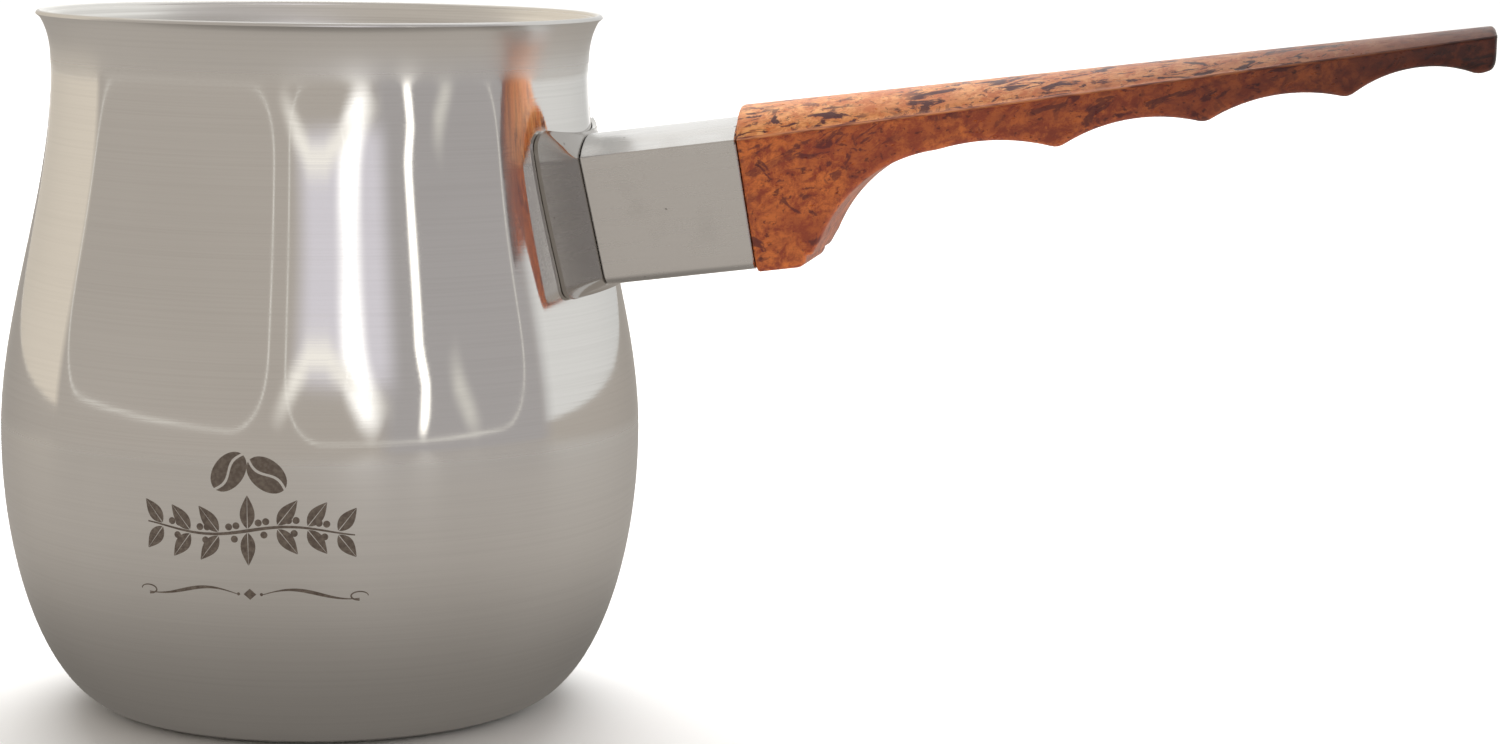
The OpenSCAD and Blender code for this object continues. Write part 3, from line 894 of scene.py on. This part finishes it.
def make_floor():
    """A plain pale floor that runs out of view on all sides."""
    s = Surface("studio_floor", Roughness=0.8)
    speckle = s.noise(s.place((9, 9, 9)), 3, 0.5)
    s.feed(s.shader, "Base Color", s.mix(speckle, (0.90, 0.90, 0.895, 1), (0.93, 0.93, 0.925, 1)))
    s.bump(speckle, 0.02, 0.001)
    half = 30000
    corners = [(-half, -half, 0), (half, -half, 0), (half, half, 0), (-half, half, 0)]
    make_piece("studio_floor", corners, [(0, 1, 2, 3)], s.material)


def around(azimuth, radius):
    """x and y of a point round the pot's axis, with its azimuth in degrees from the viewer."""
    turn = VIEW_AZIMUTH + math.radians(azimuth)
    return math.sin(turn) * radius, -math.cos(turn) * radius


def area_light(name, azimuth, distance, height, size, power, target_z=0.07):
    """A rectangular soft light that looks at the pot and shows in no reflection."""
    data = bpy.data.lights.new(name, "AREA")
    data.shape = "RECTANGLE"
    data.size, data.size_y = size
    data.energy = power
    light = bpy.data.objects.new(name, data)
    bpy.context.scene.collection.objects.link(light)
    light.location = (*around(azimuth, distance), height)
    look = Vector((0, 0, target_z)) - light.location
    light.rotation_mode = "QUATERNION"
    light.rotation_quaternion = look.to_track_quat("-Z", "Y")
    light.visible_camera = False
    light.visible_glossy = False


def make_world():
    """White behind the object and a warm grey room in front of it, as a product tent has them."""
    world = bpy.data.worlds.new("studio")
    world.use_nodes = True
    tree = world.node_tree
    where = tree.nodes.new("ShaderNodeTexCoord").outputs["Generated"]
    parts = tree.nodes.new("ShaderNodeSeparateXYZ")
    tree.links.new(where, parts.inputs[0])

    def fade(axis, low, high, colour):
        """A mix towards a colour as the direction's share along the axis goes from low to high."""
        ramp = tree.nodes.new("ShaderNodeMapRange")
        ramp.interpolation_type = "SMOOTHSTEP"
        ramp.inputs["From Min"].default_value = low
        ramp.inputs["From Max"].default_value = high
        tree.links.new(parts.outputs[axis], ramp.inputs["Value"])
        mix = tree.nodes.new("ShaderNodeMix")
        mix.data_type = "RGBA"
        tree.links.new(ramp.outputs[0], mix.inputs[0])
        mix.inputs[7].default_value = colour
        return mix

    room = fade("X", -0.6, 0.9, (0.46, 0.43, 0.41, 1))
    room.inputs[6].default_value = (0.50, 0.455, 0.405, 1)
    behind = fade("Y", 0.115, 0.145, (1.1, 1.1, 1.08, 1))
    tree.links.new(room.outputs[2], behind.inputs[6])
    tree.links.new(behind.outputs[2], tree.nodes["Background"].inputs["Color"])
    bpy.context.scene.world = world


def glow_material(name, colour, strength, clear=True):
    """Light that follows a card's glow: it fades to clear, or else to dark."""
    material = bpy.data.materials.new(name)
    material.use_nodes = True
    tree = material.node_tree
    tree.nodes.clear()
    glow = tree.nodes.new("ShaderNodeAttribute")
    glow.attribute_name = "glow"
    light = tree.nodes.new("ShaderNodeEmission")
    light.inputs["Color"].default_value = (*colour, 1)
    light.inputs["Strength"].default_value = strength
    mix = tree.nodes.new("ShaderNodeMixShader")
    out = tree.nodes.new("ShaderNodeOutputMaterial")
    tree.links.new(glow.outputs["Fac"], mix.inputs[0])
    if clear:
        tree.links.new(tree.nodes.new("ShaderNodeBsdfTransparent").outputs[0], mix.inputs[1])
    tree.links.new(light.outputs[0], mix.inputs[2])
    tree.links.new(mix.outputs[0], out.inputs["Surface"])
    return material


def grid_faces(rows, n):
    """Faces of a sheet of points, n in each of its rows."""
    return [(k * n + i, k * n + i + 1, (k + 1) * n + i + 1, (k + 1) * n + i)
            for k in range(rows - 1) for i in range(n - 1)]


def studio_card(name, rows, colour, strength, soft, reach=CARD_REACH):
    """A light card that only reflections see. rows are rows of (azimuth, height) points round the pot,
    azimuth in degrees from the viewer and height in metres; it fades over soft, shares of its size."""
    points, glow = [], []
    wide, tall = len(rows[0]) - 1, len(rows) - 1
    for k, row in enumerate(rows):
        for i, (azimuth, height) in enumerate(row):
            points.append((*around(azimuth, reach / MM), height / MM))
            glow.append(ease(min(i, wide - i) / wide / soft[0]) * ease(min(k, tall - k) / tall / soft[1]))
    material = glow_material(name, colour, strength)
    hide_from_view(make_piece(name, points, grid_faces(len(rows), wide + 1), material), glow)


def studio_mat(colour, strength):
    """A grey mat round the pot that only reflections see, darker towards the foot as painted shadow from the
    pot.
    """
    start, end, shade = FOOT_R + 1, 1650, 90
    radii, turns = span(start, end, 80), span(-180, 180, 96)
    points, glow = [], []
    for radius in radii:
        for azimuth in turns:
            points.append((*around(azimuth, radius), 1))
            glow.append(lerp(0.42, 1, ease((radius - start) / shade)))
    material = glow_material("studio_mat", colour, strength, clear=False)
    hide_from_view(make_piece("studio_mat", points, grid_faces(len(radii), len(turns)), material), glow)


def hide_from_view(card, glow):
    """Stages a card that gives its glow to reflections alone."""
    card.data.attributes.new("glow", "FLOAT", "POINT").data.foreach_set("value", glow)
    card.visible_camera = False
    card.visible_diffuse = False
    card.visible_shadow = False


def between(left, right, wide=12):
    """Rows of points from one edge line to another of equal length."""
    return [straight(a, b, wide) for a, b in zip(left, right)]


def straight(a, b, steps=24):
    """steps + 1 even points from a to b."""
    return [(lerp(a[0], b[0], t), lerp(a[1], b[1], t)) for t in span(0, 1, steps)]


def panel(left, right, wide):
    """Rows of a card with straight sides, each given by its lower and its upper point."""
    return between(straight(*left), straight(*right), wide)


def strip(path, width):
    """Rows of a card of that width along a path, on the cards' usual reach."""
    left, right = [], []
    for i, (azimuth, height) in enumerate(path):
        near, far = path[max(0, i - 1)], path[min(len(path) - 1, i + 1)]
        run = math.radians(far[0] - near[0]) * CARD_REACH, far[1] - near[1]
        size = width / 2 / math.hypot(*run)
        left.append((azimuth - math.degrees(run[1] * size / CARD_REACH), height + run[0] * size))
        right.append((azimuth + math.degrees(run[1] * size / CARD_REACH), height - run[0] * size))
    return between(left, right)


def seam_path(left, right, low, high):
    """Down the left side of a cloth panel, round its two lower corners and up its right side."""
    corner = 13
    drop = math.radians(corner) * CARD_REACH
    turn = [(left + corner * (1 - math.cos(math.radians(a))), low + drop * (1 - math.sin(math.radians(a))))
            for a in span(0, 90, 12)]
    other = [(left + right - azimuth, height) for azimuth, height in reversed(turn)]
    down, up = straight((left, high), turn[0], 12), straight(other[-1], (right, high), 12)
    return down[:-1] + turn + other + up[1:]


def card_room(grey, cool):
    """The room's wall in front of the pot, the tent's two bright sides, and the sheet over the lens."""
    studio_card("card_room", panel(((-106, -0.1), (-106, 0.8)), ((83, -0.1), (83, 0.8)), 60),
                grey, 0.50, (0.01, 0.01), 0.60)
    for name, left, right, colour in (("card_left", -178, -88, (1, 0.91, 0.78)),
                                      ("card_right", 60, 172, (1, 1, 0.98))):
        studio_card(name, panel(((left, -0.1), (left, 2)), ((right, -0.1), (right, 2)), 24),
                    colour, 0.82, (0.2, 0.02), 1.7)
    studio_card("card_cool", panel(((16, -0.1), (16, 0.8)), ((88, -0.1), (88, 0.8)), 36),
                (1, 0.955, 0.945), 0.45, (0.12, 0.02), 0.598)
    studio_card("card_paper", panel(((-14, 0.135), (-9, 0.5)), ((28, 0.115), (30, 0.5)), 24),
                cool, 0.82, (0.22, 0.14), 0.59)


def card_folds(warm):
    """Bright folds and gaps of the tent's cloth, and the seams round its two front panels."""
    narrow = [(33, 0.04), (34.5, 0.09), (35.5, 0.14), (34, 0.19), (35, 0.26), (35, 0.32)]
    second = [(55, 0.035), (51, 0.08), (47.5, 0.13), (45.5, 0.18)]
    fold = [(-17, 0.07), (-14, 0.11), (-10, 0.155), (-5, 0.19), (1, 0.19), (8, 0.16), (16, 0.125), (25, 0.10)]
    glow = [(20, 0.07), (15, 0.11), (12, 0.15), (10.5, 0.19), (10, 0.24), (10, 0.3)]
    studio_card("card_narrow", strip(narrow, 0.046), warm, 3.2, (0.5, 0.12))
    studio_card("card_second", strip(second, 0.085), warm, 0.75, (0.5, 0.4))
    studio_card("card_fold", strip(fold, 0.07), warm, 1.1, (0.5, 0.3))
    studio_card("card_glow", strip(glow, 0.13), (1, 1, 0.98), 2.2, (0.5, 0.3))
    studio_card("card_left_seam", strip(seam_path(-105, -19, 0.062, 0.7), 0.009), warm, 0.9, (0.5, 0.03))
    studio_card("card_right_seam", strip(seam_path(-13, 76, 0.040, 0.7), 0.009), warm, 0.85, (0.5, 0.03))


def make_lights():
    """A tent of cards for the steel to mirror, and two soft lights from above for everything else."""
    warm, cool, grey = (1, 0.97, 0.90), (0.96, 0.93, 1), (1, 0.92, 0.83)
    studio_mat(grey, 0.50)
    card_room(grey, cool)
    card_folds(warm)
    area_light("softbox_top", 178, 1.35, 1.5, (2.0, 1.4), 42)
    area_light("softbox_far", 180, 3.2, 2.4, (5, 3.6), 60, target_z=-6)


# ---- build ----

make_camera()
make_floor()
make_world()
make_lights()

# Painted shade: the bracket's steel gets a darker base than the guard's, for its dimmer look in the recess
# between pot and guard.
steel_bracket = brushed_steel("bracket_steel", (0.44, 0.42, 0.40, 1), 0.11, (140, 140, 700), 0.01)
steel_guard = brushed_steel("guard_steel", (0.73, 0.72, 0.71, 1), 0.25, (90, 1700, 1700), 0.006)
steel_fixing = brushed_steel("fixing_steel", (0.52, 0.52, 0.53, 1), 0.3, (1500, 80, 80))
brass = turned_brass()

pot = build_pot(pot_steel(), turned_inside())
bracket = build_bracket(steel_bracket)
guard = build_guard(steel_guard)
grip = build_grip(burl_bakelite(), bakelite_seam())
mark = build_mark(etched_brown())

for piece, node, slot in ((pot, "pot_body", "pot_steel"), (bracket, "handle_bracket", "bracket_steel"),
                          (guard, "flame_guard", "guard_steel"), (grip, "handle_grip", "grip_bakelite")):
    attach(piece, "root")
    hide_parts(node)

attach(mark, "root")

for node, material in (("weld_stud", steel_fixing), ("spring_washer", steel_fixing),
                       ("clamp_nut", steel_fixing), ("grip_insert", brass)):
    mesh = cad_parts[node].data
    mesh.materials.clear()
    mesh.materials.append(material)

bpy.context.scene.view_settings.view_transform = "Standard"
